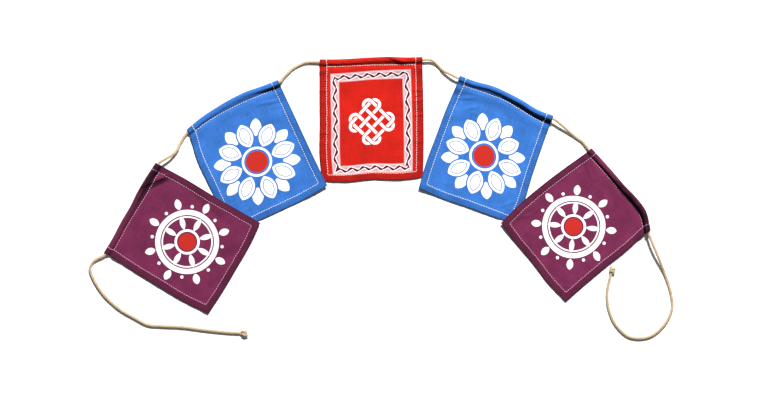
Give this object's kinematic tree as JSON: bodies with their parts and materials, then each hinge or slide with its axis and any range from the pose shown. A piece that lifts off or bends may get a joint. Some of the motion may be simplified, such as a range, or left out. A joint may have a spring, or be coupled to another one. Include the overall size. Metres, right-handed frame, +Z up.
{
  "type": "prayer flag string",
  "caption": "String of five printed cotton flags, purple, blue, red, blue and purple, threaded by their top casings on a twisted cotton cord, laid flat in an arch, with a knot in each free end of the cord.",
  "frame": {"origin": "on the surface under the middle of the red flag", "axes": "+X to the right along the string, +Y towards the flags' casings at the top of the arch, +Z up from the surface"},
  "size_m": [0.7131, 0.3452, 0.0138],
  "materials": {
    "purple_cotton": "matte",
    "blue_cotton": "matte",
    "red_cotton": "matte",
    "cotton_cord": "matte"
  },
  "bodies": {
    "root": {"cord": "cotton_cord", "flag_purple_left": "purple_cotton", "flag_blue_left": "blue_cotton", "flag_red": "red_cotton", "flag_blue_right": "blue_cotton", "flag_purple_right": "purple_cotton"}
  },
  "joints": []
}
